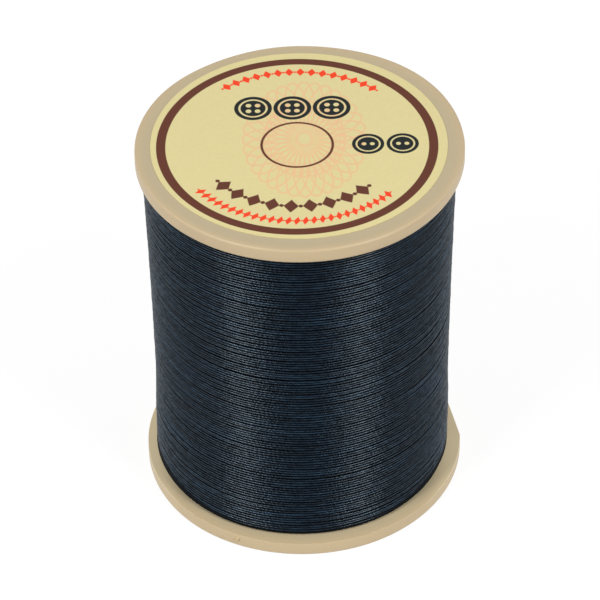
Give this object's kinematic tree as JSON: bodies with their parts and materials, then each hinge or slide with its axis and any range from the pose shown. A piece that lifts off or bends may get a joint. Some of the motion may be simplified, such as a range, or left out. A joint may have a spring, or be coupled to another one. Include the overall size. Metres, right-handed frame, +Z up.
{
  "type": "spool of thread",
  "caption": "Round-flanged spool with a hollow tube, wound full of fine sewing thread, a paper label on each end; it stands on its rim or turns on a pin.",
  "frame": {"origin": "the spool's axis, on the plane that the lower rim stands on", "axes": "+Z up along the spool's axis; the picture was taken from -Y, with +X to the right"},
  "size_m": [0.045, 0.045, 0.0555],
  "materials": {
    "flange_moulding": "beige moulded plastic, satin",
    "tube_moulding": "beige moulded plastic, satin",
    "thread": "glazed navy sewing thread",
    "label_paper": "pale yellow coated paper, printed"
  },
  "bodies": {
    "root": {"bottom_flange": "flange_moulding", "top_flange": "flange_moulding", "barrel": "tube_moulding", "thread_pack": "thread", "thread_outer_layer": "thread", "top_label": "label_paper", "bottom_label": "label_paper"}
  },
  "joints": []
}
